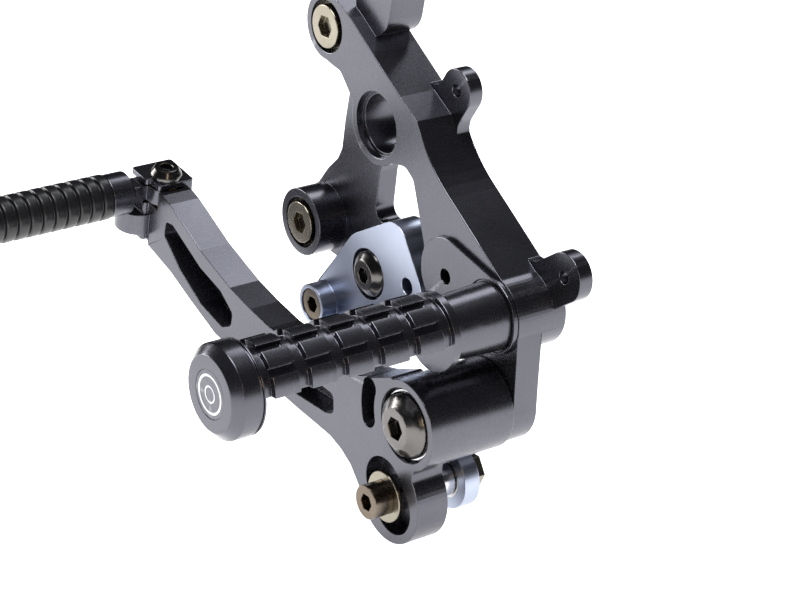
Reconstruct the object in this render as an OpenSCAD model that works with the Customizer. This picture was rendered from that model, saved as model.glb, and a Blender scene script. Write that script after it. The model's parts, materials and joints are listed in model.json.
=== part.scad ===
// Left-hand rearset: a fixed foot peg on its bracket, with a shift lever,
// a folding toe peg, a shift link and a rocker for the shift rod.
// The peg points to -Y, the lever reaches forward to -X, and +Z is up.
// The origin is where the peg's axis meets the face of its seat plate.

/* [Foot peg] */
// Diameter over the gripping pads
peg_d = 31; // [26:1:34]
// Rows of pads along the peg
pad_rings = 5; // [3:1:6]
// Length of one pad
pad_len = 10.6; // [8:0.2:14]
// Width of the ring grooves between pads
groove_w = 4.8; // [3:0.2:6]
// Depth of the grooves
groove_depth = 2.4; // [1:0.1:3]
// Width of the lengthwise grooves
flute_w = 3.4; // [2:0.1:5]
// Diameter of the collar at the seat
collar_d = 26.5; // [24:0.5:27.5]
// Length of the collar and flange together
collar_len = 27; // [22:1:34]
// Diameter of the end cap
cap_d = 35; // [32:1:44]
// Length of the end cap
cap_len = 12; // [11:0.5:20]
// Thread of the bolt that holds the peg
peg_bolt_d = 10; // [8:1:12]

/* [Bracket] */
// Thickness of the bracket, outer face to back face
bracket_t = 22; // [19:1:28]
// Thickness of the thin arms at the back
arm_t = 9; // [7:0.5:12]
// Thickness of the boss that carries the lever
pivot_boss_t = 11; // [9:0.5:14]
// Radius of the bracket round the peg
peg_boss_r = 15.5; // [15.5:0.5:19]
// Thickness of the peg's seat plate
seat_t = 2; // [1.5:0.1:4]
// Diameter of the large round window
window_d = 23; // [16:1:26]
// Diameter of the frame bolts
frame_bolt_d = 10; // [8:1:12]
// Diameter of the seats of the frame bolts
frame_seat_d = 21; // [18:0.5:23]
// Thickness of the heel-guard ears
ear_t = 6; // [4:0.5:8]
// Threaded bore of the heel-guard ears
ear_bore_d = 5; // [4:0.1:6]

/* [Shift lever] */
// Thickness of the lever
lever_t = 14; // [11:0.5:18]
// Outer face of the lever, measured out from the seat plate
lever_out = 36; // [34:1:42]
// Radius of the lever's hub
hub_r = 17.5; // [16:0.5:19]
// Length from the pivot to the toe joint
lever_reach = 180; // [150:1:200]
// Diameter of the pivot bolt's shank
pivot_d = 10; // [8:1:12]
// Diameter of the tail bolt's shank
tail_bolt_d = 8; // [6:1:10]

/* [Toe peg] */
// Diameter of the rubber ribs
toe_d = 19; // [16:0.5:22]
// Number of ribs
toe_ribs = 11; // [6:1:14]
// Distance from rib to rib
toe_pitch = 5.6; // [4:0.1:7]
// Thickness of the hinge tongue
tongue_t = 7; // [5:0.5:7.5]
// Diameter of the toe joint's bolt
toe_bolt_d = 6; // [5:1:8]

/* [Shift link and rocker] */
// Thickness of the link
link_t = 7; // [6:0.5:9]
// Radius of the link's eyes
link_eye_r = 12.5; // [11.5:0.5:14]
// Thickness of the rocker
rocker_t = 12; // [9:0.5:14]
// Radius of the rocker round its pivot
rocker_r = 17; // [15:0.5:19]
// Outer diameter of the rod socket
socket_d = 17; // [14:0.5:20]

/* [Clearances] */
// Radial running clearance of pins and shafts
run_gap = 0.03; // [0.02:0.01:0.08]
// Side clearance between pieces that move past each other
side_gap = 0.4; // [0.3:0.1:0.6]

/* [Hidden] */
$fn = 72;

// Axes, as [x, z] in the plane of the bracket
peg_at = [0, 0];
seat_end = [-27, 7];
upper_bolt = [-107, 85.5];
window_at = [-74, 54];
lower_bolt = [-127, -1];
top_eye = [-80, 118];
ear_upper = [-44.5, 72];
ear_rear = [20.5, 17.5];
pivot_at = [-3.6, -36];
tail_at = [-14, -68.5];
rocker_at = [-80, -9];
spare_hole = [-54, -6];
crown_at = [-63, 8];
socket_at = [-110, -30];
// The link keeps the lever's tail and the rocker's pin parallel
link_at = rocker_at + tail_at - pivot_at;

// Planes along Y
face_y = seat_t;
back_y = face_y + bracket_t;
arm_y = back_y - arm_t;
ear_y = back_y - ear_t;
branch_y = face_y + 6;
boss_y = face_y + pivot_boss_t;
lever_y = -lever_out;
lever_back = lever_y + lever_t;
hub_back = face_y - side_gap;
rocker_back = arm_y - 1;
rocker_y = rocker_back - rocker_t;
link_back = rocker_y - 4;
link_y = link_back - link_t;

// Bracket outline
upper_boss_r = 13.5;
window_boss_r = 16;
lower_boss_r = 14;
pivot_boss_r = 16.5;
seat_end_r = 17.3;
rocker_boss_r = 15;
web_end = [-20, -8];
web_end_r = 14;
blend_r = 5;
belt_inset = 0.998;
bracket_edge = [
    [-99.5, 97.6], [-90.9, 92.4], [-77.8, 82.8], [-58.4, 69.1], [-47.5, 62],
    each bend([-45, 57.5], [-39.5, 46.2], [-27, 37.6]), each bend([-26, 36.9], [-13.5, 28], [7, 13]), [0, 0], [-27, -5], [-43, 3], [-43, 14], [-50.1, 38.5],
    [-55.2, 42.2], [-61.6, 41.7], [-74, 38.5], [-92.6, 63.4], [-97.9, 69.7], [-104, 71], [-113, 73.5],
];
front_arm_edge = [
    [-92, 66], [-105, 62], [-110, 57], [-113.5, 43.6], [-116, 31], [-119, 26], [-126, 20], [-134, 11],
    [-127, -1], [-108, -5], [-94, 5], [-90, 28], [-85, 38], [-74, 45],
];
branch_from = [-84.5, 97];
branch_r = 11;
top_eye_r = 12;
top_bore_r = 4.25;
ear_upper_r = 8.5;
ear_upper_root = [-55, 58];
ear_rear_r = 9.5;
ear_rear_root = [5, 8];
ear_scoop_r = 10.5;
ear_scoop_top = [-47.5, 75.5];
ear_scoop_end = [-39, 68.5];
ear_blend = 7;
ear_skin = 0.4;
window_step = 1.6;
window_step_depth = 3;

// Peg
peg_r = peg_d / 2;
pad_pitch = pad_len + groove_w;
pads_end = collar_len + pad_rings * pad_pitch + groove_w;
groove_r = peg_r - groove_depth;
flange_t = 3.2;
flange_r = 15;
collar_top_r = 12;
core_r = 5.6;
under_z = -0.6;
flute_angles = [-57, -19, 19, 57];
stub_r = 9;
stub_len = 4;
seat_inset = 0.5;
seat_step_gap = 0.6;
seat_step = 0.8;
seat_hole_r = 3;
seat_hole_depth = 10;
peg_bolt_r = peg_bolt_d / 2;
peg_bolt_grip = 17;
peg_bolt_head_r = 8;
peg_bolt_head_t = 10;

// End cap
cap_r = cap_d / 2;
cap_out = pads_end + cap_len;
cap_lip = 3.5;
cap_wall = 5;
cap_groove = 0.8;
cap_spigot = cap_len - cap_wall - side_gap;
badge_r = 9;
badge_t = 1;
cap_screw_r = 3;
cap_screw_head_r = 5.5;
cap_screw_cone = 2.5;
cap_screw_len = 22;

// Fasteners
bolt_play = 0.25;
shank_step = 0.3; // a shank is this much thicker than its free thread
frame_bolt_r = frame_bolt_d / 2;
frame_shank_r = frame_bolt_r + shank_step;
frame_head_r = 8.6;
frame_head_t = 4.8;
frame_stud = 16;
seat_ring_t = 2;
seat_depth = 6;
frame_head_y = face_y + seat_depth - seat_ring_t;
pivot_head_r = 12.8;
pivot_head_t = 6;
pivot_seat_r = 14.5;
pivot_seat_depth = 4;
washer_t = 2;
washer_r = 13.6;
big_hex = 8;
mid_hex = 6;
small_hex = 5;

// Lever bearing
pivot_bolt_r = pivot_d / 2;
sleeve_r = pivot_bolt_r + 2;
bearing_r = sleeve_r + 5;
bearing_w = 8;
seal_t = 1.6;
bore_y = lever_y + pivot_seat_depth;
sleeve_y = bore_y - side_gap;
front_bearing_y = bore_y + seal_t;
rear_bearing_y = hub_back - seal_t - bearing_w;

// Lever, its edges as [x, z] drawn for this reach
drawn_reach = 180;
arm_edge = [
    [-180, 6.5], [-172, 5.3], [-166.3, 3], [-151.2, -5.6], [-143.7, -9.9], [-121.6, -19.3], [-107, -23.6],
    [-92.7, -27], [-72, -29], [-45, -28.5], [-26, -24.5], [-12, -19.5], [-3.6, -36], [-14, -68.5],
    [-32, -73], [-38.5, -65], [-44.5, -61], [-52, -58], [-75, -54.5], [-100, -50], [-134, -43.4],
    [-152.9, -34.6], [-168, -27], [-186, -20.5],
];
long_pocket = [
    [-170, -5.5], [-165, -5.5], [-144.2, -17.8], [-129.2, -23], [-120.5, -30], [-122, -36],
    [-128.5, -38.5], [-145, -33.4], [-160.1, -23.6], [-172, -12],
];
short_pocket = [[-86, -46.5], [-80, -40], [-63.7, -38], [-49.5, -40], [-49.5, -48], [-55, -49.3], [-80, -48.5]];
pocket_depth = 9;
pocket_r = 2.5;
kidney_r = 23.2;
kidney_half = 4;
kidney_from = 161;
kidney_to = 192;
kidney_depth = 10;
tail_r = 19;
tail_pocket_r = 11.3;
tail_pocket_half = 4.2;
tail_pocket_turn = -52;
tail_pocket_depth = 7;
tail_floor = lever_y + tail_pocket_depth;
tail_bolt_r = tail_bolt_d / 2;
tail_head_r = tail_bolt_r + 2.7;
tail_head_t = 8;
tail_spacer_r = 7;
tail_washer_r = 10;
tail_washer_y = lever_y - washer_t;
tail_nut_t = 6;
nut_r = 7.5;

// Toe joint, in its own axes about the fold bolt
toe_at = [pivot_at[0] - lever_reach, 0.2];
fork_half = 9.5;
fork_y = lever_y - 2;
toe_y = fork_y + fork_half;
fork_tilt = 12;
fork_front = 12;
fork_rear = 7;
fork_step = 2.2;
fork_top = 9.8;
fork_bottom = -19;
toe_x = -5;
toe_z = 3;
friction_t = 0.5;
slot_half = tongue_t / 2 + 0.3 + friction_t;
eye_r = 8;
neck_half = 4.2;
jaw_r = 9.5;
jaw_bottom = -16;
jaw_x = -8;
toe_bolt_r = toe_bolt_d / 2;
toe_head_r = 6.75;
toe_head_t = 4.5;
toe_thread = 12;
toe_collar_r = 9;
toe_cone_y = -13.5;
toe_collar_y = -16.5;
rubber_y = -25.8;
rib_gap = 1.1;
rib_depth = 1.3;
toe_rod_r = 6;
rubber_end = rubber_y - toe_ribs * toe_pitch;
toe_washer_r = 8.4;
toe_screw_r = 2.5;
toe_screw_head_r = 4.8;
toe_screw_head_t = 2.8;
toe_screw_len = 16;

// Link and rocker
link_bearing_r = 8;
link_pin_r = 4;
link_waist = 7;
pin_head_r = 6.5;
pin_head_t = 5;
pin_boss_r = 7;
pin_lobe_r = 11;
spare_lobe_r = 9;
crown_r = 9.5;
spare_bore_r = 3.4;
socket_r = socket_d / 2;
socket_y = rocker_y - 7;
rod_seat_y = socket_y + 5.5;
rod_bolt_r = 4;
rod_shank_r = rod_bolt_r + shank_step;
rod_bolt_head_r = 6.5;
rod_bolt_head_t = 5;
rod_bolt_free = 16;
rocker_bolt_r = 4;
rocker_sleeve_r = 6;
rocker_bearing_r = 9.5;
rocker_seat_r = 10.5;
rocker_seat_y = rocker_y + 3;
rocker_head_r = 10;
rocker_head_t = 5;
rocker_sleeve_y = rocker_seat_y - side_gap;

// Draws an [x, z] outline and gives it thickness along Y
module slab(y0, y1) {
    translate([0, y1, 0]) rotate([90, 0, 0]) linear_extrude(y1 - y0) children();
}
// A cylinder along Y
module rod(at, y0, y1, r) {
    translate([at[0], y1, at[1]]) rotate([90, 0, 0]) cylinder(h = y1 - y0, r = r);
}
// A cone along Y, with its radius at each end
module taper(at, y0, y1, r0, r1) {
    translate([at[0], y1, at[1]]) rotate([90, 0, 0]) cylinder(h = y1 - y0, r1 = r1, r2 = r0);
}
// A hexagon along Y, by its width across the flats
module hexagon(at, y0, y1, flats) {
    translate([at[0], y1, at[1]]) rotate([90, 0, 0]) cylinder(h = y1 - y0, r = flats / sqrt(3), $fn = 6);
}
module tube(at, y0, y1, r, bore) {
    difference() {
        rod(at, y0, y1, r);
        rod(at, y0 - 1, y1 + 1, bore);
    }
}
// Two circles joined by straight sides, which cross just inside the tangents
module belt(a, ra, b, rb) {
    t = atan2(b[1] - a[1], b[0] - a[0]);
    s = acos((ra - rb) / norm(b - a));
    ia = ra * belt_inset;
    ib = rb * belt_inset;
    translate(a) circle(ra);
    translate(b) circle(rb);
    polygon([
        a + ia * [cos(t + s), sin(t + s)], b + ib * [cos(t + s), sin(t + s)],
        b + ib * [cos(t - s), sin(t - s)], a + ia * [cos(t - s), sin(t - s)],
    ]);
}
// A socket screw whose head starts at y0 and whose shank ends at y2
module screw(at, y0, y1, y2, head, shank, flats) {
    difference() {
        union() {
            rod(at, y0, y1, head);
            rod(at, y1, y2, shank);
        }
        hexagon(at, y0 - 1, y0 + (y1 - y0) * 0.55, flats);
    }
}
// The same with a domed button head
module button_screw(at, y0, y1, y2, head, shank, flats) {
    difference() {
        union() {
            taper(at, y0, y0 + (y1 - y0) * 0.45, head * 0.6, head * 0.9);
            taper(at, y0 + (y1 - y0) * 0.45, y1 - 1, head * 0.9, head);
            rod(at, y1 - 1, y1, head);
            rod(at, y1, y2, shank);
        }
        hexagon(at, y0 - 1, y0 + (y1 - y0) * 0.6, flats);
    }
}
// Points along a smooth curve from a to c, drawn towards b
function bend(a, b, c, steps = 6) = [
    for (i = [0:steps]) let (t = i / steps) (1 - t) * (1 - t) * a + 2 * t * (1 - t) * b + t * t * c
];
module filleted(r) {
    offset(r = -r) offset(r = r) children();
}
module rounded(r) {
    offset(r = r) offset(r = -r) children();
}
function at_reach(p) = [pivot_at[0] + (p[0] - pivot_at[0]) * lever_reach / drawn_reach, p[1]];

// Root body

module front_outline() {
    polygon(bracket_edge);
    translate(upper_bolt) circle(upper_boss_r);
    translate(window_at) circle(window_boss_r);
    belt(seat_end, seat_end_r, peg_at, peg_boss_r);
}
module bracket_shape() {
    slab(face_y, arm_y) {
        filleted(blend_r) front_outline();
        translate(lower_bolt) circle(lower_boss_r);
    }
    slab(arm_y, back_y) filleted(blend_r) {
        front_outline();
        polygon(front_arm_edge);
        belt(lower_bolt, lower_boss_r + 0.3, rocker_at, rocker_boss_r);
        belt(rocker_at, rocker_boss_r, web_end, web_end_r);
    }
    slab(branch_y, back_y) filleted(1) belt(branch_from, branch_r, top_eye, top_eye_r);
    slab(face_y, boss_y) filleted(1) belt(peg_at, peg_boss_r - seat_inset, pivot_at, pivot_boss_r);
}
module main_bracket() color([0.09, 0.09, 0.1]) difference() {
    union() {
        difference() {
            bracket_shape();
            slab(face_y - 1, ear_y) filleted(1) belt(ear_scoop_top, ear_scoop_r, ear_scoop_end, ear_scoop_r);
            rod(ear_rear, face_y - 1, ear_y, ear_scoop_r);
        }
        slab(ear_y, back_y) filleted(ear_blend) {
            offset(delta = -ear_skin) polygon(bracket_edge);
            belt(ear_upper, ear_upper_r, ear_upper_root, ear_upper_r);
            belt(ear_rear, ear_rear_r, ear_rear_root, ear_rear_r);
        }
    }
    for (at = [upper_bolt, lower_bolt]) {
        rod(at, face_y - 1, face_y + seat_depth, frame_seat_d / 2);
        rod(at, face_y, back_y + 1, frame_shank_r + bolt_play);
    }
    rod(window_at, face_y - 1, back_y + 1, window_d / 2);
    rod(window_at, face_y - 1, face_y + window_step_depth, window_d / 2 + window_step);
    rod(top_eye, branch_y - 1, back_y + 1, top_bore_r);
    for (at = [ear_upper, ear_rear]) rod(at, ear_y - 1, back_y + 1, ear_bore_d / 2);
    rod(peg_at, face_y - 1, stub_len, stub_r);
    rod(peg_at, face_y, back_y, peg_bolt_r + bolt_play);
    rod(peg_at, back_y - peg_bolt_head_t - 1, back_y + 1, peg_bolt_head_r + bolt_play);
    rod(seat_end, face_y - 1, face_y + seat_hole_depth, seat_hole_r);
    rod(pivot_at, face_y - 1, boss_y + 1, pivot_bolt_r);
    rod(rocker_at, arm_y - 1, back_y + 1, rocker_bolt_r);
}
module peg_seat_plate() color([0.13, 0.13, 0.14]) difference() {
    slab(0, face_y) filleted(1) belt(seat_end, seat_end_r - 2, peg_at, peg_boss_r - seat_inset);
    rod(peg_at, -1, face_y + 1, stub_r);
    rod(peg_at, -1, seat_step, collar_d / 2 + seat_step_gap);
    rod(seat_end, -1, face_y + 1, seat_hole_r);
}
module half_round(r) {
    intersection() {
        circle(r);
        translate([-r, under_z]) square([2 * r, r - under_z]);
    }
}
module foot_peg() color([0.12, 0.12, 0.13]) difference() {
    union() {
        rod(peg_at, 0, stub_len, stub_r);
        rod(peg_at, 0, seat_step, collar_d / 2);
        taper(peg_at, flange_t - collar_len, 0, collar_top_r, collar_d / 2);
        rod(peg_at, -collar_len, flange_t - collar_len, flange_r);
        rod(peg_at, -pads_end - cap_spigot, -collar_len, core_r);
        slab(-pads_end, -collar_len) half_round(groove_r);
        for (i = [1:pad_rings]) slab(-collar_len - i * pad_pitch, -collar_len - i * pad_pitch + pad_len)
            difference() {
                half_round(peg_r);
                for (a = flute_angles) rotate(a) translate([-flute_w / 2, groove_r]) square([flute_w, peg_r]);
            }
    }
    rod(peg_at, -peg_bolt_grip, stub_len + 1, peg_bolt_r);
    rod(peg_at, -pads_end - cap_len, cap_screw_len - cap_out, cap_screw_r);
}
module peg_mounting_bolt() color([0.55, 0.52, 0.45]) mirror([0, 1, 0])
    screw(peg_at, 1 - back_y, peg_bolt_head_t + 1 - back_y, peg_bolt_grip - 1,
        peg_bolt_head_r, peg_bolt_r, big_hex);
module peg_end_cap() color([0.1, 0.1, 0.11]) difference() {
    union() {
        taper(peg_at, -cap_out, cap_lip - cap_out, cap_r - cap_lip, cap_r);
        rod(peg_at, cap_lip - cap_out, -pads_end, cap_r);
    }
    difference() {
        rod(peg_at, -pads_end - 2 * cap_groove, -pads_end - cap_groove, cap_r + 1);
        rod(peg_at, -pads_end - 2 * cap_groove, -pads_end - cap_groove, cap_r - cap_groove);
    }
    rod(peg_at, -pads_end - cap_len + cap_wall, -pads_end + 1, core_r);
    rod(peg_at, -cap_out - 1, badge_t - cap_out, badge_r);
    rod(peg_at, -cap_out, -pads_end, cap_screw_r);
    taper(peg_at, badge_t - cap_out, badge_t + cap_screw_cone - cap_out, cap_screw_head_r, cap_screw_r);
}
module end_cap_screw() color([0.6, 0.6, 0.62]) difference() {
    union() {
        taper(peg_at, badge_t - cap_out, badge_t + cap_screw_cone - cap_out, cap_screw_head_r, cap_screw_r);
        rod(peg_at, badge_t - cap_out, cap_screw_len - 1 - cap_out, cap_screw_r);
    }
    hexagon(peg_at, -cap_out, badge_t + cap_screw_cone - cap_out, small_hex - 1);
}
module end_cap_badge() color([0.8, 0.8, 0.82]) rod(peg_at, -cap_out, badge_t - cap_out, badge_r);
module frame_bolts() color([0.62, 0.6, 0.52]) for (at = [upper_bolt, lower_bolt]) {
    screw(at, frame_head_y - frame_head_t, frame_head_y, back_y, frame_head_r, frame_shank_r, big_hex);
    rod(at, back_y, back_y + frame_stud, frame_bolt_r);
}
module frame_bolt_seats() color([0.7, 0.69, 0.62]) for (at = [upper_bolt, lower_bolt])
    tube(at, frame_head_y, face_y + seat_depth, frame_seat_d / 2, frame_shank_r + bolt_play);
module pivot_sleeve() color([0.5, 0.5, 0.52]) tube(pivot_at, sleeve_y, face_y, sleeve_r, pivot_bolt_r);
module pivot_washer() color([0.6, 0.6, 0.62])
    tube(pivot_at, sleeve_y - washer_t, sleeve_y, washer_r, pivot_bolt_r);
module pivot_bolt() color([0.3, 0.29, 0.3])
    button_screw(pivot_at, sleeve_y - washer_t - pivot_head_t, sleeve_y - washer_t, boss_y, pivot_head_r,
        pivot_bolt_r, big_hex);
module rocker_sleeve() color([0.5, 0.5, 0.52])
    tube(rocker_at, rocker_sleeve_y, arm_y, rocker_sleeve_r, rocker_bolt_r);
module rocker_pivot_bolt() color([0.4, 0.36, 0.28])
    button_screw(rocker_at, rocker_sleeve_y - rocker_head_t, rocker_sleeve_y, back_y, rocker_head_r,
        rocker_bolt_r, mid_hex);

// Shift lever

module at_toe() {
    translate([toe_at[0], toe_y, toe_at[1]]) rotate([0, fork_tilt, 0]) children();
}
module pocket(points) {
    slab(lever_y - 1, lever_y + pocket_depth) rounded(pocket_r) polygon([for (p = points) at_reach(p)]);
}
module kidney() {
    slab(lever_y - 1, lever_y + kidney_depth) translate(pivot_at) filleted(1) {
        for (a = [kidney_from, kidney_to]) rotate(a) translate([kidney_r, 0]) circle(kidney_half);
        intersection() {
            difference() {
                circle(kidney_r + kidney_half);
                circle(kidney_r - kidney_half);
            }
            polygon([[0, 0], for (a = [kidney_from, kidney_to]) 2 * kidney_r * [cos(a), sin(a)]]);
        }
    }
}
module fork_block() {
    translate([0, 0, fork_bottom]) linear_extrude(fork_top - fork_bottom) rounded(1.5) {
        translate([-fork_front, -fork_half]) square([fork_front, 2 * fork_half]);
        translate([-1, fork_step - fork_half]) square([fork_rear + 1, 2 * fork_half - fork_step]);
    }
    translate([jaw_x, fork_step - fork_half, jaw_bottom])
        cylinder(h = toe_z - toe_collar_r - side_gap - jaw_bottom, r = jaw_r);
}
module fork_slot() {
    translate([0, 0, toe_z - slot_half]) {
        cylinder(h = 2 * slot_half, r = eye_r + side_gap);
        translate([-fork_front - 1, -fork_half - 1, 0])
            cube([fork_front + fork_rear + 1, fork_half + 1, 2 * slot_half]);
    }
}
module shift_lever() color([0.1, 0.1, 0.11]) difference() {
    union() {
        slab(lever_y, lever_back) filleted(blend_r) {
            polygon([for (p = arm_edge) at_reach(p)]);
            translate(pivot_at) circle(hub_r - 0.4);
            translate(tail_at) circle(tail_r);
        }
        rod(pivot_at, lever_y, hub_back, hub_r);
        at_toe() fork_block();
    }
    pocket(long_pocket);
    pocket(short_pocket);
    kidney();
    slab(lever_y - 1, tail_floor) translate(tail_at) rotate(tail_pocket_turn)
        belt([-tail_pocket_half, 0], tail_pocket_r, [tail_pocket_half, 0], tail_pocket_r);
    rod(tail_at, lever_y, lever_back + 1, tail_bolt_r);
    rod(pivot_at, lever_y - 1, bore_y, pivot_seat_r);
    rod(pivot_at, lever_y, hub_back + 1, bearing_r);
    at_toe() {
        fork_slot();
        translate([0, 0, toe_z - slot_half - toe_thread])
            cylinder(h = fork_top + toe_thread + slot_half, r = toe_bolt_r);
    }
}
module hub_bearings() color([0.65, 0.65, 0.67]) for (y = [front_bearing_y, rear_bearing_y])
    tube(pivot_at, y, y + bearing_w, bearing_r, sleeve_r + run_gap);
module hub_spacer() color([0.4, 0.4, 0.42])
    tube(pivot_at, front_bearing_y + bearing_w, rear_bearing_y, bearing_r, sleeve_r + 2);
module hub_seals() color([0.05, 0.05, 0.05]) for (y = [bore_y, hub_back - seal_t])
    tube(pivot_at, y, y + seal_t, bearing_r, sleeve_r + side_gap);
module tail_bolt() color([0.4, 0.26, 0.16])
    screw(tail_at, tail_washer_y - tail_head_t, tail_washer_y, link_back + side_gap + tail_nut_t + 1,
        tail_head_r, tail_bolt_r, mid_hex);
module tail_washer() color([0.75, 0.74, 0.68])
    tube(tail_at, tail_washer_y, lever_y, tail_washer_r, tail_bolt_r);
module tail_spacer() color([0.6, 0.6, 0.62]) {
    tube(tail_at, lever_y, tail_floor, tail_spacer_r, tail_bolt_r);
    tube(tail_at, lever_back, link_y - side_gap, tail_spacer_r, tail_bolt_r);
}
module nut(at, y0, y1, bore) {
    difference() {
        intersection() {
            hexagon(at, y0, y1, 2 * nut_r * 0.88);
            rod(at, y0, y1, nut_r);
        }
        rod(at, y0 - 1, y1 + 1, bore);
    }
}
module tail_nut() color([0.6, 0.6, 0.62])
    nut(tail_at, link_back + side_gap, link_back + side_gap + tail_nut_t, tail_bolt_r);
module toe_pivot_bolt() color([0.35, 0.33, 0.3]) at_toe() difference() {
    union() {
        translate([0, 0, toe_z - slot_half - toe_thread + 1])
            cylinder(h = fork_top + toe_thread - 1 - toe_z + slot_half, r = toe_bolt_r);
        translate([0, 0, fork_top]) cylinder(h = 1.4, r = toe_head_r);
        translate([0, 0, fork_top + 1.4])
            cylinder(h = toe_head_t - 1.4, r1 = toe_head_r, r2 = toe_head_r * 0.72);
    }
    translate([0, 0, fork_top + 1.6]) cylinder(h = toe_head_t, r = small_hex / sqrt(3), $fn = 6);
}
module toe_friction_washers() color([0.7, 0.55, 0.3]) at_toe()
    for (z = [toe_z - slot_half, toe_z + slot_half - friction_t]) translate([0, 0, z]) difference() {
        cylinder(h = friction_t, r = eye_r - 1);
        translate([0, 0, -1]) cylinder(h = friction_t + 2, r = toe_bolt_r);
    }

// Toe peg

module toe_rod(y0, y1, r) {
    rod([toe_x, toe_z], y0, y1, r);
}
module toe_peg_core() color([0.1, 0.1, 0.11]) at_toe() difference() {
    union() {
        translate([0, 0, toe_z - tongue_t / 2]) cylinder(h = tongue_t, r = eye_r);
        translate([toe_x - neck_half, toe_collar_y, toe_z - tongue_t / 2])
            cube([2 * neck_half, -toe_collar_y, tongue_t]);
        taper([toe_x, toe_z], toe_collar_y, toe_cone_y, toe_collar_r, neck_half);
        toe_rod(rubber_y, toe_collar_y, toe_collar_r);
        toe_rod(rubber_end, rubber_y, toe_rod_r);
    }
    cylinder(h = 4 * tongue_t, r = toe_bolt_r + run_gap, center = true);
    toe_rod(rubber_end - 1, rubber_end + toe_screw_len, toe_screw_r);
}
module toe_peg_rubber() color([0.04, 0.04, 0.04]) at_toe() difference() {
    union() {
        toe_rod(rubber_end, rubber_y, toe_d / 2 - rib_depth);
        for (i = [1:toe_ribs])
            toe_rod(rubber_y - i * toe_pitch, rubber_y - (i - 1) * toe_pitch - rib_gap, toe_d / 2);
    }
    toe_rod(rubber_end - 1, rubber_y + 1, toe_rod_r);
}
module toe_peg_end_washer() color([0.5, 0.5, 0.52]) at_toe() difference() {
    toe_rod(rubber_end - washer_t, rubber_end, toe_washer_r);
    toe_rod(rubber_end - washer_t - 1, rubber_end + 1, toe_screw_r);
}
module toe_peg_end_screw() color([0.4, 0.4, 0.42]) at_toe()
    button_screw([toe_x, toe_z], rubber_end - washer_t - toe_screw_head_t, rubber_end - washer_t,
        rubber_end + toe_screw_len - 1, toe_screw_head_r, toe_screw_r, small_hex - 2);

// Shift link

module shift_link() color([0.45, 0.52, 0.62]) difference() {
    slab(link_y, link_back) filleted(blend_r) {
        belt(tail_at, link_waist, link_at, link_waist);
        for (at = [tail_at, link_at]) translate(at) circle(link_eye_r);
    }
    for (at = [tail_at, link_at]) rod(at, link_y - 1, link_back + 1, link_bearing_r);
}
module link_bearings() color([0.7, 0.7, 0.72]) {
    tube(tail_at, link_y, link_back, link_bearing_r, tail_bolt_r + run_gap);
    tube(link_at, link_y, link_back, link_bearing_r, link_pin_r + run_gap);
}

// Rocker

module shift_rocker() color([0.45, 0.52, 0.62]) difference() {
    union() {
        slab(rocker_y, rocker_back) filleted(blend_r) {
            belt(rocker_at, rocker_r, link_at, pin_lobe_r);
            belt(rocker_at, rocker_r, socket_at, socket_r);
            belt(rocker_at, rocker_r, spare_hole, spare_lobe_r);
            belt(rocker_at, rocker_r, crown_at, crown_r);
            belt(crown_at, crown_r, spare_hole, spare_lobe_r);
        }
        rod(socket_at, socket_y, rocker_back, socket_r);
        rod(link_at, link_back + side_gap, rocker_back, pin_boss_r);
    }
    rod(rocker_at, rocker_y - 1, rocker_seat_y, rocker_seat_r);
    rod(rocker_at, rocker_y, rocker_back + 1, rocker_bearing_r);
    rod(link_at, link_back, rocker_back + 1, link_pin_r);
    rod(socket_at, socket_y - 1, rod_seat_y, rod_bolt_head_r + bolt_play);
    rod(socket_at, socket_y, rocker_back + 1, rod_shank_r);
    rod(spare_hole, rocker_y - 1, rocker_back + 1, spare_bore_r);
}
module rocker_bearings() color([0.65, 0.65, 0.67])
    tube(rocker_at, rocker_seat_y, rocker_back, rocker_bearing_r, rocker_sleeve_r + run_gap);
module link_pin() color([0.5, 0.48, 0.42])
    screw(link_at, link_y - side_gap - pin_head_t, link_y - side_gap, rocker_back + tail_nut_t + 1,
        pin_head_r, link_pin_r, small_hex);
module link_pin_nut() color([0.6, 0.6, 0.62]) nut(link_at, rocker_back, rocker_back + tail_nut_t, link_pin_r);
module rod_end_bolt() color([0.55, 0.32, 0.2]) {
    screw(socket_at, rod_seat_y - rod_bolt_head_t, rod_seat_y, rocker_back, rod_bolt_head_r, rod_shank_r, mid_hex);
    rod(socket_at, rocker_back, rocker_back + rod_bolt_free, rod_bolt_r);
}

main_bracket();
peg_seat_plate();
foot_peg();
peg_mounting_bolt();
peg_end_cap();
end_cap_screw();
end_cap_badge();
frame_bolts();
frame_bolt_seats();
shift_lever();
pivot_sleeve();
pivot_bolt();
pivot_washer();
hub_bearings();
hub_spacer();
hub_seals();
tail_bolt();
tail_washer();
tail_spacer();
tail_nut();
toe_pivot_bolt();
toe_friction_washers();
toe_peg_core();
toe_peg_rubber();
toe_peg_end_screw();
toe_peg_end_washer();
shift_link();
link_bearings();
shift_rocker();
rocker_bearings();
rocker_sleeve();
rocker_pivot_bolt();
link_pin();
link_pin_nut();
rod_end_bolt();
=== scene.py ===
import json
import math
import bpy
import bmesh
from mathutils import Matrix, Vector
from mathutils.bvhtree import BVHTree


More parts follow.
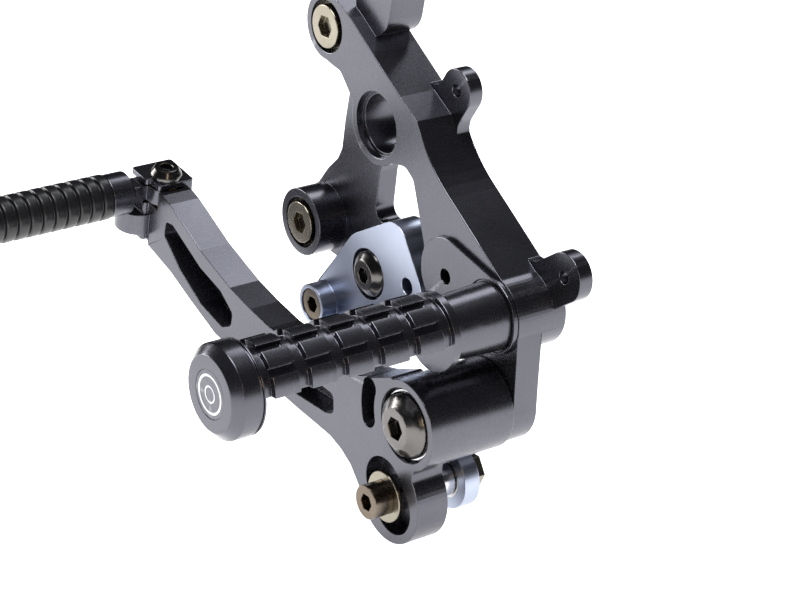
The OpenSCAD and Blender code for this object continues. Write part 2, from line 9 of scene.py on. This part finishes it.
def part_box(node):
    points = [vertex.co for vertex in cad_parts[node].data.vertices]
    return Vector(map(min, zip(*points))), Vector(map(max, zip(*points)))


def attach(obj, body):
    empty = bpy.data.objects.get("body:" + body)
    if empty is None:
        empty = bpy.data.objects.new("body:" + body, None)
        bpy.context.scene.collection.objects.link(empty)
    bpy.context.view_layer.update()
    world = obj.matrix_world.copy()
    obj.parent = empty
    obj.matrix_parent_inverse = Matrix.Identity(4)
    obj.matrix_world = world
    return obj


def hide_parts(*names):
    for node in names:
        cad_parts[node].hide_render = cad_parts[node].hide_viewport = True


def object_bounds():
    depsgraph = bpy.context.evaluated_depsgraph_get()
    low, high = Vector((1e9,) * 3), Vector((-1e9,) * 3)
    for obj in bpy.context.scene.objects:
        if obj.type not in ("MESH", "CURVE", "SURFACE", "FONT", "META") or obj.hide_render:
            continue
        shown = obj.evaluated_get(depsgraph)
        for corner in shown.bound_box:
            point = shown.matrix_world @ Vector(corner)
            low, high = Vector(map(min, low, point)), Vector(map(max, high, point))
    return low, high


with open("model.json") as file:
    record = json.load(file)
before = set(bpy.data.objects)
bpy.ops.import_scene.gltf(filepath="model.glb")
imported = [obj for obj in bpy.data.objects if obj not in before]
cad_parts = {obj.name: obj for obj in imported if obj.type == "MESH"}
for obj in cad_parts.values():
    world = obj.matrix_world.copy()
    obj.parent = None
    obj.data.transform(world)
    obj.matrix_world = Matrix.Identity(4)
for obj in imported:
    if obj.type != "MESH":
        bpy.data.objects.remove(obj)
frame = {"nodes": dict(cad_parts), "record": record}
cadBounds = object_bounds()
nodes = frame["nodes"]
record = frame["record"]
bodyOf = {node: body for body, members in record["behaviour"]["bodies"].items() for node in members}
slotOf = {entry["node"]: entry["material_slot"] for entry in record["subparts"]}
mm = 0.001
print("frame loaded:", len(nodes), "nodes")


# camera, lights and floor

cameraSetup = {
    "aim": Vector((-21.0, -25.2, 5.5)) * mm,
    "azimuth": math.radians(54.0),
    "elevation": math.radians(21.8),
    "distance": 0.919,
    "lens": 112.5,
    "sensor": 36.0,
    "clip": (0.01, 50),
}
az, el = cameraSetup["azimuth"], cameraSetup["elevation"]
towardsCamera = Vector((math.sin(az) * math.cos(el), -math.cos(az) * math.cos(el), math.sin(el)))
cameraData = bpy.data.cameras.new("studioCamera")
cameraData.lens = cameraSetup["lens"]
cameraData.sensor_width = cameraSetup["sensor"]
cameraData.clip_start, cameraData.clip_end = cameraSetup["clip"]
studioCamera = bpy.data.objects.new("studioCamera", cameraData)
bpy.context.scene.collection.objects.link(studioCamera)
studioCamera.location = cameraSetup["aim"] + towardsCamera * cameraSetup["distance"]
studioCamera.rotation_euler = (-towardsCamera).to_track_quat("-Z", "Y").to_euler()
bpy.context.scene.camera = studioCamera

lightSetup = {
    "overhead": {
        "from": (0.10, -0.12, 1.0), "far": 1.3,
        "size": (0.9, 0.7), "power": 16, "tint": (0.97, 0.98, 1.0)},
    "topBack": {
        "from": (-0.28, 0.52, 0.80), "far": 1.1,
        "size": (0.35, 0.3), "power": 1.6, "tint": (0.96, 0.98, 1.0)},
    "farLeft": {
        "from": (-0.85, -0.50, 0.20), "far": 1.1,
        "size": (0.5, 0.25), "power": 4, "tint": (1.0, 1.0, 1.0)},
    "warmRight": {
        "from": (0.85, -0.30, 0.30), "far": 1.2,
        "size": (0.12, 0.4), "power": 0.9, "tint": (1.0, 0.78, 0.55)},
}
for name, setup in lightSetup.items():
    data = bpy.data.lights.new(name, "AREA")
    data.shape = "RECTANGLE"
    data.size, data.size_y = setup["size"]
    data.energy = setup["power"]
    data.color = setup["tint"]
    lamp = bpy.data.objects.new(name, data)
    bpy.context.scene.collection.objects.link(lamp)
    direction = Vector(setup["from"]).normalized()
    lamp.location = cameraSetup["aim"] + direction * setup["far"]
    lamp.rotation_euler = direction.to_track_quat("Z", "Y").to_euler()

roomSetup = {"dim": (0.026, 0.027, 0.033, 1), "backdrop": (1, 1, 1, 1)}
world = bpy.data.worlds.new("softRoom")
bpy.context.scene.world = world
world.use_nodes = True
roomTree = world.node_tree
directView = roomTree.nodes.new("ShaderNodeLightPath").outputs["Is Camera Ray"]
roomTone = roomTree.nodes.new("ShaderNodeMix")
roomTone.data_type = "RGBA"
roomTree.links.new(directView, roomTone.inputs[0])
roomTone.inputs[6].default_value = roomSetup["dim"]  # what lights the metal
roomTone.inputs[7].default_value = roomSetup["backdrop"]  # what the camera sees behind it
roomTree.links.new(roomTone.outputs[2], roomTree.nodes["Background"].inputs["Color"])
bpy.context.scene.view_settings.view_transform = "Standard"

floorSetup = {
    "size": 6, "drop": 0.0005, "grain": 9, "rough": 0.9, "glow": 1.25, "gloss": 0.1,
    "dark": (0.93, 0.93, 0.93, 1), "light": (0.96, 0.96, 0.96, 1), "glowTint": (1, 1, 1, 1),
}
floorMesh = bpy.data.meshes.new("floor")
floorBm = bmesh.new()
bmesh.ops.create_grid(floorBm, x_segments=1, y_segments=1, size=floorSetup["size"])
bmesh.ops.translate(floorBm, verts=floorBm.verts, vec=(0, 0, cadBounds[0][2] - floorSetup["drop"]))
floorBm.to_mesh(floorMesh)
floorBm.free()
floor = bpy.data.objects.new("floor", floorMesh)
bpy.context.scene.collection.objects.link(floor)
print("studio ready")


# shader building

class Wire:
    def __init__(self, tree, socket):
        self.tree = tree
        self.socket = socket

    def math(self, operation, first, second):
        node = self.tree.nodes.new("ShaderNodeMath")
        node.operation = operation
        for slot, value in zip(node.inputs, (first, second)):
            if isinstance(value, Wire):
                self.tree.links.new(value.socket, slot)
            else:
                slot.default_value = value
        return Wire(self.tree, node.outputs[0])

    def __add__(self, other):
        return self.math("ADD", self, other)

    def __radd__(self, other):
        return self.math("ADD", other, self)

    def __sub__(self, other):
        return self.math("SUBTRACT", self, other)

    def __rsub__(self, other):
        return self.math("SUBTRACT", other, self)

    def __mul__(self, other):
        return self.math("MULTIPLY", self, other)

    def __rmul__(self, other):
        return self.math("MULTIPLY", other, self)


class Finish:
    def __init__(self, name):
        self.material = bpy.data.materials.new(name)
        self.material.use_nodes = True
        self.tree = self.material.node_tree
        self.tree.nodes.clear()
        self.shader = self.tree.nodes.new("ShaderNodeBsdfPrincipled")
        output = self.tree.nodes.new("ShaderNodeOutputMaterial")
        self.tree.links.new(self.shader.outputs[0], output.inputs["Surface"])

    def node(self, kind, settings=None, inputs=None, output=0):
        made = self.tree.nodes.new(kind)
        for key, value in (settings or {}).items():
            if key == "stops":
                ramp = made.color_ramp
                while len(ramp.elements) < len(value):
                    ramp.elements.new(0.5)
                for element, (position, shade) in zip(ramp.elements, value):
                    element.position = position
                    element.color = (shade, shade, shade, 1)
            else:
                setattr(made, key, value)
        for key, value in (inputs or {}).items():
            if isinstance(value, Wire):
                self.tree.links.new(value.socket, made.inputs[key])
            else:
                made.inputs[key].default_value = value
        return Wire(self.tree, made.outputs[output])

    def drive(self, socket, value):
        if isinstance(value, Wire):
            self.tree.links.new(value.socket, self.shader.inputs[socket])
        else:
            self.shader.inputs[socket].default_value = value

    def place(self, stretch=(1, 1, 1)):
        here = self.node("ShaderNodeTexCoord", output="Object")
        return self.node("ShaderNodeMapping", inputs={"Vector": here, "Scale": stretch})

    def noise(self, scale, stretch=(1, 1, 1), detail=3):
        inputs = {"Vector": self.place(stretch), "Scale": scale, "Detail": detail}
        return self.node("ShaderNodeTexNoise", inputs=inputs)

    def ramp(self, value, stops):
        return self.node("ShaderNodeValToRGB", {"stops": stops}, {"Fac": value})

    def blend(self, mask, first, second):
        colours = {0: mask, 6: first, 7: second}  # the factor and the two colour sockets
        return self.node("ShaderNodeMix", {"data_type": "RGBA"}, colours, output=2)

    def edges(self, low, high):
        pointed = self.node("ShaderNodeNewGeometry", output="Pointiness")
        return self.ramp(pointed, [(low, 0), (high, 1)])

    def bump(self, height, strength, distance):
        inputs = {"Height": height, "Strength": strength, "Distance": distance}
        return self.node("ShaderNodeBump", inputs=inputs)


def machinedFinish(name, look):
    made = Finish(name)
    cutterLines = made.noise(look["lineScale"], look["lineStretch"], 2)
    grain = made.noise(look["grainScale"], detail=4)
    cloud = made.noise(look["cloudScale"], detail=2)
    patches = look["edgeHighlightPatches"]
    # convex edges mixed toward the bare colour in random patches: bare-metal edge wear plus a painted edge
    # highlight
    paintedEdgeHighlight = made.edges(*look["edgeHighlightPointiness"]) * made.ramp(made.noise(look["edgeHighlightScale"], detail=3), patches)
    toned = made.blend(cloud, look["dark"], look["light"])
    made.drive("Base Color", made.blend(paintedEdgeHighlight * look["wear"], toned, look["bareEdgeHighlight"]))
    lined = look["rough"] + (cutterLines - 0.5) * look["lineRough"]
    made.drive("Roughness", lined + (grain - 0.5) * look["grainRough"] + (cloud - 0.5) * look["cloudRough"])
    made.drive("Metallic", look["metal"])
    made.drive("IOR", look["ior"])
    height = cutterLines * look["lineDepth"] + grain * look["grainDepth"]
    made.drive("Normal", made.bump(height, look["bumpStrength"], look["bumpDistance"]))
    return made.material


def rubberFinish(name, look):
    made = Finish(name)
    skin = made.noise(look["skinScale"], detail=4)
    dust = made.noise(look["dustScale"], detail=3)
    made.drive("Base Color", made.blend(dust, look["dark"], look["light"]))
    skinned = look["rough"] + (skin - 0.5) * look["skinRough"]
    made.drive("Roughness", skinned + (dust - 0.5) * look["dustRough"])
    made.drive("Normal", made.bump(skin, look["bumpStrength"], look["bumpDistance"]))
    return made.material


blackLook = {
    # the bare colour on convex edges is bare-metal edge wear plus a painted edge highlight
    "dark": (0.092, 0.092, 0.108, 1), "light": (0.118, 0.117, 0.136, 1), "bareEdgeHighlight": (0.42, 0.42, 0.44, 1),
    "rough": 0.27, "metal": 0.95, "ior": 1.5,
    "lineScale": 160, "lineStretch": (24, 2, 2), "lineRough": 0.07, "lineDepth": 0.5,  # the cutter's marks
    "grainScale": 2600, "grainRough": 0.06, "grainDepth": 0.25,
    "cloudScale": 45, "cloudRough": 0.06,
    # how strongly convex edges get the bare colour: edge wear plus a painted edge highlight
    "wear": 0.5, "edgeHighlightScale": 600, "edgeHighlightPointiness": (0.54, 0.66), "edgeHighlightPatches": [(0.35, 0.2), (0.7, 1)],
    "bumpStrength": 0.08, "bumpDistance": 0.00001,
}
rubberLook = {
    "skinScale": 900, "skinRough": 0.16, "dustScale": 70, "dustRough": 0.12,
    "bumpStrength": 0.25, "bumpDistance": 0.00008,
}


def metalFinish(name, dark, light, bareEdgeHighlight, **changes):
    shades = {"dark": (*dark, 1), "light": (*light, 1), "bareEdgeHighlight": (*bareEdgeHighlight, 1)}
    return machinedFinish(name, {**blackLook, **shades, **changes})


def softFinish(name, dark, light, rough):
    return rubberFinish(name, {**rubberLook, "dark": (*dark, 1), "light": (*light, 1), "rough": rough})


finishes = {
    "black_anodised": machinedFinish("blackAnodised", blackLook),
    "blue_anodised": metalFinish("blueAnodised", (0.36, 0.40, 0.50), (0.46, 0.50, 0.61), (0.75, 0.77, 0.8),
        metal=1.0, rough=0.33),
    "zinc_steel": metalFinish("zincSteel", (0.16, 0.14, 0.10), (0.36, 0.33, 0.27), (0.7, 0.69, 0.64),
        metal=1.0, rough=0.26, lineStretch=(8, 8, 8)),
    "dark_steel": metalFinish("darkSteel", (0.09, 0.085, 0.085), (0.19, 0.18, 0.17), (0.6, 0.58, 0.55),
        metal=1.0, rough=0.22, lineStretch=(6, 6, 6)),
    # stronger edge wear and painted edge highlight on the bronze bolts
    "bronze_steel": metalFinish("bronzeSteel", (0.085, 0.062, 0.042), (0.20, 0.165, 0.13), (0.72, 0.70, 0.66),
        metal=1.0, rough=0.26, lineStretch=(6, 6, 6), wear=0.9),
    "bearing_steel": metalFinish("bearingSteel", (0.52, 0.52, 0.53), (0.68, 0.68, 0.69), (0.85, 0.85, 0.86),
        metal=1.0, rough=0.22, lineStretch=(5, 5, 5)),
    "badge": metalFinish("badgeSilver", (0.62, 0.62, 0.64), (0.78, 0.78, 0.8), (0.9, 0.9, 0.9),
        metal=0.7, rough=0.34),
    "friction_bronze": metalFinish("frictionBronze", (0.40, 0.27, 0.12), (0.55, 0.40, 0.20),
        (0.8, 0.68, 0.45), metal=1.0, rough=0.35),
    "seal_rubber": softFinish("sealRubber", (0.008, 0.008, 0.008), (0.02, 0.02, 0.02), 0.55),
    "toe_rubber": softFinish("toeRubber", (0.006, 0.006, 0.007), (0.014, 0.014, 0.016), 0.30),
}
floorFinish = Finish("paleFloor")
floorGrain = floorFinish.noise(floorSetup["grain"], detail=2)
floorFinish.drive("Base Color", floorFinish.blend(floorGrain, floorSetup["dark"], floorSetup["light"]))
floorFinish.drive("Roughness", floorSetup["rough"])
floorFinish.drive("Emission Color", floorSetup["glowTint"])
floorFinish.drive("Emission Strength", floorSetup["glow"])
floorFinish.drive("Specular IOR Level", floorSetup["gloss"])
floorMesh.materials.append(floorFinish.material)
print("finishes ready")


# pieces taken from the frame, with every sharp edge broken

smoothing = {"milled": 20, "turned": 40, "grip": 80}  # degrees


def finishPiece(name, bm, node, smoothAngle):
    mesh = bpy.data.meshes.new(name)
    bm.normal_update()
    bm.to_mesh(mesh)
    bm.free()
    mesh.polygons.foreach_set("use_smooth", [True] * len(mesh.polygons))
    mesh.set_sharp_from_angle(angle=math.radians(smoothAngle))
    mesh.materials.append(finishes[slotOf[node]])
    piece = bpy.data.objects.new(name, mesh)
    bpy.context.scene.collection.objects.link(piece)
    even = piece.modifiers.new("even", "WEIGHTED_NORMAL")
    even.keep_sharp = True
    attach(piece, bodyOf[node])
    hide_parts(node)
    return piece


edgeBreak = {"usual": 0.3, "sharpest": 35, "segments": 2, "stray": 0.4, "weld": 0.004}


def brokenEdges(node, width):
    bm = bmesh.new()
    bm.from_mesh(nodes[node].data)
    bmesh.ops.remove_doubles(bm, verts=bm.verts, dist=edgeBreak["weld"] * mm)
    bmesh.ops.dissolve_degenerate(bm, edges=bm.edges, dist=edgeBreak["weld"] * mm)
    surface = BVHTree.FromBMesh(bm)
    sharpest = math.radians(edgeBreak["sharpest"])
    sharp = [edge for edge in bm.edges if edge.is_manifold and edge.calc_face_angle(0) > sharpest]
    bmesh.ops.bevel(bm, geom=sharp, offset=width * mm, offset_type="OFFSET", segments=edgeBreak["segments"],
        profile=0.5, affect="EDGES", clamp_overlap=False, material=-1, loop_slide=False)
    for corner in bm.verts:  # a corner that a tight spot threw out goes back to the surface
        nearest, _, _, gap = surface.find_nearest(corner.co)
        if gap > edgeBreak["stray"] * mm:
            corner.co = nearest
    return bm


edgeWidths = {
    "main_bracket": 0.28, "foot_peg": 0.24, "end_cap_screw": 0.15, "toe_friction_washers": 0.08,
    "frame_bolt_seats": 0.2, "toe_peg_end_screw": 0.2, "toe_peg_core": 0.25, "pivot_bolt": 0.4,
    "tail_washer": 0.35, "toe_peg_end_washer": 0.35,
}
turnedNodes = ("toe_peg_rubber", "end_cap_badge", "link_bearings")
threadedNodes = ("frame_bolts", "rod_end_bolt")
for node in nodes:
    if node not in turnedNodes + threadedNodes:
        broken = brokenEdges(node, edgeWidths.get(node, edgeBreak["usual"]))
        finishPiece(node + "Piece", broken, node, smoothing["milled"])
print("machined pieces ready")


# turned pieces

turning = {"steps": 72, "threadSteps": 48, "weld": 0.002}


def turned(profile, centre, steps=turning["steps"]):
    bm = bmesh.new()
    points = [bm.verts.new((centre[0] + radius * mm, along * mm, centre[1])) for along, radius in profile]
    lines = [bm.edges.new(pair) for pair in zip(points, points[1:])]
    bmesh.ops.spin(bm, geom=points + lines, cent=(centre[0], 0, centre[1]), axis=(0, 1, 0), angle=math.tau,
        steps=steps, use_merge=True, use_duplicate=False)
    bmesh.ops.remove_doubles(bm, verts=bm.verts, dist=turning["weld"] * mm)
    bmesh.ops.recalc_face_normals(bm, faces=bm.faces)
    return bm


def centreOf(node):
    low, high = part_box(node)
    return ((low[0] + high[0]) / 2, (low[2] + high[2]) / 2), low[1] / mm, high[1] / mm


def radiusOf(node):
    low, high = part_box(node)
    return (high[0] - low[0]) / 2 / mm


def joined(bm, other):
    scratch = bpy.data.meshes.new("scratch")
    other.to_mesh(scratch)
    other.free()
    bm.from_mesh(scratch)
    bpy.data.meshes.remove(scratch)


threadForm = {"start": 0.15, "rise": 0.38, "crest": 0.5, "fall": 0.85, "lead": 0.5, "sunk": 0.1}
studs = {
    "frame_bolts": {
        "radius": 5.0, "pitch": 1.5, "depth": 0.7, "length": 16, "axes": ((-107, 85.5), (-127, -1))},
    "rod_end_bolt": {
        "radius": 4.0, "pitch": 1.25, "depth": 0.6, "length": 16, "axes": ((-110, -30),)},
}


def threadProfile(start, end, stud):
    crest, pitch = stud["radius"], stud["pitch"]
    root = crest - stud["depth"]
    ridges = [(start, 0), (start, root)]
    for turn in range(int((end - start) / pitch)):
        at = start + (turn + threadForm["start"]) * pitch
        ridges += [(at, root), (at + threadForm["rise"] * pitch, crest),
            (at + threadForm["crest"] * pitch, crest), (at + threadForm["fall"] * pitch, root)]
    return ridges + [(end - threadForm["lead"], root), (end, root - stud["depth"]), (end, 0)]


for node, stud in studs.items():
    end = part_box(node)[1][1] / mm
    start = end - stud["length"] + threadForm["lead"]
    bolt = brokenEdges(node, edgeBreak["usual"])
    bmesh.ops.bisect_plane(bolt, geom=bolt.verts[:] + bolt.edges[:] + bolt.faces[:],
        plane_co=(0, start * mm, 0), plane_no=(0, 1, 0), clear_outer=True)
    bmesh.ops.holes_fill(bolt, edges=[edge for edge in bolt.edges if edge.is_boundary], sides=0)
    ridges = threadProfile(start - threadForm["sunk"], end, stud)
    for x, z in stud["axes"]:
        joined(bolt, turned(ridges, (x * mm, z * mm), turning["threadSteps"]))
    finishPiece(node + "Piece", bolt, node, smoothing["milled"])
print("threads ready")

gripShape = {
    "ribs": 11, "groove": 1.3, "bore": 6.0,
    "rib": ((0.0, 0.0), (0.02, 0.1), (0.05, 0.55), (0.09, 0.85), (0.15, 0.97), (0.3, 1.0),
        (0.7, 1.0), (0.78, 0.97), (0.83, 0.85), (0.87, 0.5), (0.9, 0.08), (0.95, 0.0)),  # along, up
}
centre, outer, inner = centreOf("toe_peg_rubber")
root = radiusOf("toe_peg_rubber") - gripShape["groove"]
pitch = (inner - outer) / gripShape["ribs"]
gripProfile = [(inner, gripShape["bore"])]
for rib in range(gripShape["ribs"]):
    start = inner - rib * pitch
    for share, rise in gripShape["rib"]:
        gripProfile.append((start - share * pitch, root + gripShape["groove"] * rise))
gripProfile += [(outer, root), (outer, gripShape["bore"]), (inner, gripShape["bore"])]
finishPiece("toeGrip", turned(gripProfile, centre), "toe_peg_rubber", smoothing["grip"])

badgeShape = {"edge": 0.15, "step": 0.12, "rings": {"badgeRing": (7.4, 6.5), "badgeInnerRing": (3.2, 2.6)}}
centre, outer, inner = centreOf("end_cap_badge")
badgeRadius = radiusOf("end_cap_badge")
step = badgeShape["step"]
discProfile = [
    (inner, 0), (inner, badgeRadius), (outer + badgeShape["edge"] + step, badgeRadius),
    (outer + step, badgeRadius - badgeShape["edge"]), (outer + step, 0),
]
badgeDisc = finishPiece("badgeDisc", turned(discProfile, centre), "end_cap_badge", smoothing["turned"])
badgeDisc.data.materials[0] = finishes["black_anodised"]
for name, (wide, narrow) in badgeShape["rings"].items():
    ringProfile = [
        (outer + 2 * step, wide), (outer + step / 2, wide), (outer, wide - step), (outer, narrow + step),
        (outer + step / 2, narrow), (outer + 2 * step, narrow), (outer + 2 * step, wide),
    ]
    finishPiece(name, turned(ringProfile, centre), "end_cap_badge", smoothing["turned"])

bearingShape = {"ring": 1.1, "shieldDepth": 0.35, "lip": 0.15, "bore": 4.03, "rim": 8.0}


def bearingProfile(outer, inner):
    ring, sunk, lip = bearingShape["ring"], bearingShape["shieldDepth"], bearingShape["lip"]
    bore, rim = bearingShape["bore"], bearingShape["rim"]
    side = [(0.0, bore), (0.0, bore + ring), (sunk, bore + ring + lip), (sunk, rim - ring - lip),
        (0.0, rim - ring), (0.0, rim)]
    front = [(outer + depth, radius) for depth, radius in side]
    back = [(inner - depth, radius) for depth, radius in reversed(side)]
    return front + back + [front[0]]


linkBm = bmesh.new()
_, outer, inner = centreOf("link_bearings")
for pin in ("tail_bolt", "link_pin"):
    joined(linkBm, turned(bearingProfile(outer, inner), centreOf(pin)[0]))
finishPiece("linkBearings", linkBm, "link_bearings", smoothing["turned"])
print("turned pieces ready")

print("scene ready to finish")
